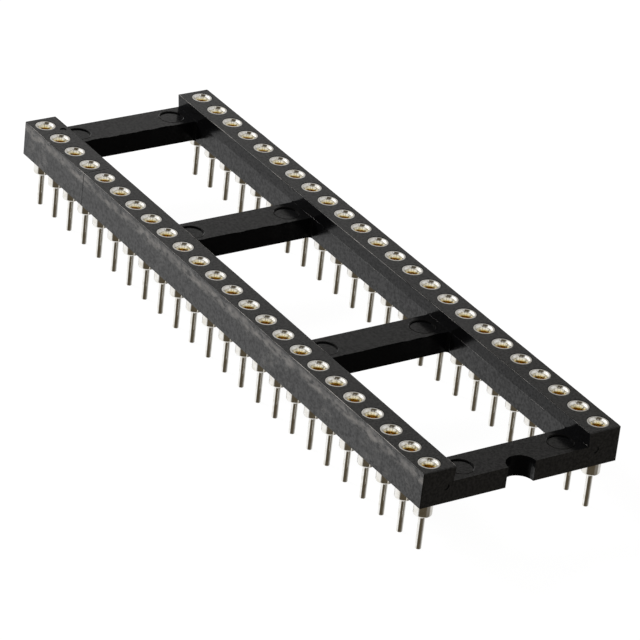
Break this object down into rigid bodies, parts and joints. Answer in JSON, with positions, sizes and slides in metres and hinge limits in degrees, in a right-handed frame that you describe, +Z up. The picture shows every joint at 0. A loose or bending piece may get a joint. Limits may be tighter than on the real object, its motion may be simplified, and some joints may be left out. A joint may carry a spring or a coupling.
{
  "type": "dip socket",
  "caption": "Open-frame dual-in-line socket with turned press-fit contacts, a half-moon notch and solder tails.",
  "frame": {"origin": "centre of the contact pattern on the board's surface, which is the plane of the contacts' shoulders", "axes": "+X along the socket towards the notched end, +Y towards the row that starts with contact 1, +Z up from the board"},
  "size_m": [0.0608, 0.0178, 0.0074],
  "materials": {
    "frame_plastic": "moulded glass-filled polyester, satin black",
    "tinned_sleeve": "bright tin over turned brass",
    "gilt_clip": "gold over copper alloy"
  },
  "bodies": {
    "root": {"housing": "frame_plastic", "contact_sleeve_01": "tinned_sleeve", "contact_sleeve_02": "tinned_sleeve", "contact_sleeve_03": "tinned_sleeve", "contact_sleeve_04": "tinned_sleeve", "contact_sleeve_05": "tinned_sleeve", "contact_sleeve_06": "tinned_sleeve", "contact_sleeve_07": "tinned_sleeve", "contact_sleeve_08": "tinned_sleeve", "contact_sleeve_09": "tinned_sleeve", "contact_sleeve_10": "tinned_sleeve", "contact_sleeve_11": "tinned_sleeve", "contact_sleeve_12": "tinned_sleeve", "contact_sleeve_13": "tinned_sleeve", "contact_sleeve_14": "tinned_sleeve", "contact_sleeve_15": "tinned_sleeve", "contact_sleeve_16": "tinned_sleeve", "contact_sleeve_17": "tinned_sleeve", "contact_sleeve_18": "tinned_sleeve", "contact_sleeve_19": "tinned_sleeve", "contact_sleeve_20": "tinned_sleeve", "contact_sleeve_21": "tinned_sleeve", "contact_sleeve_22": "tinned_sleeve", "contact_sleeve_23": "tinned_sleeve", "contact_sleeve_24": "tinned_sleeve", "contact_sleeve_25": "tinned_sleeve", "contact_sleeve_26": "tinned_sleeve", "contact_sleeve_27": "tinned_sleeve", "contact_sleeve_28": "tinned_sleeve", "contact_sleeve_29": "tinned_sleeve", "contact_sleeve_30": "tinned_sleeve", "contact_sleeve_31": "tinned_sleeve", "contact_sleeve_32": "tinned_sleeve", "contact_sleeve_33": "tinned_sleeve", "contact_sleeve_34": "tinned_sleeve", "contact_sleeve_35": "tinned_sleeve", "contact_sleeve_36": "tinned_sleeve", "contact_sleeve_37": "tinned_sleeve", "contact_sleeve_38": "tinned_sleeve", "contact_sleeve_39": "tinned_sleeve", "contact_sleeve_40": "tinned_sleeve", "contact_sleeve_41": "tinned_sleeve", "contact_sleeve_42": "tinned_sleeve", "contact_sleeve_43": "tinned_sleeve", "contact_sleeve_44": "tinned_sleeve", "contact_sleeve_45": "tinned_sleeve", "contact_sleeve_46": "tinned_sleeve", "contact_sleeve_47": "tinned_sleeve", "contact_sleeve_48": "tinned_sleeve", "contact_clips_01_06": "gilt_clip", "contact_clips_07_12": "gilt_clip", "contact_clips_13_18": "gilt_clip", "contact_clips_19_24": "gilt_clip", "contact_clips_25_30": "gilt_clip", "contact_clips_31_36": "gilt_clip", "contact_clips_37_42": "gilt_clip", "contact_clips_43_48": "gilt_clip"}
  },
  "joints": []
}
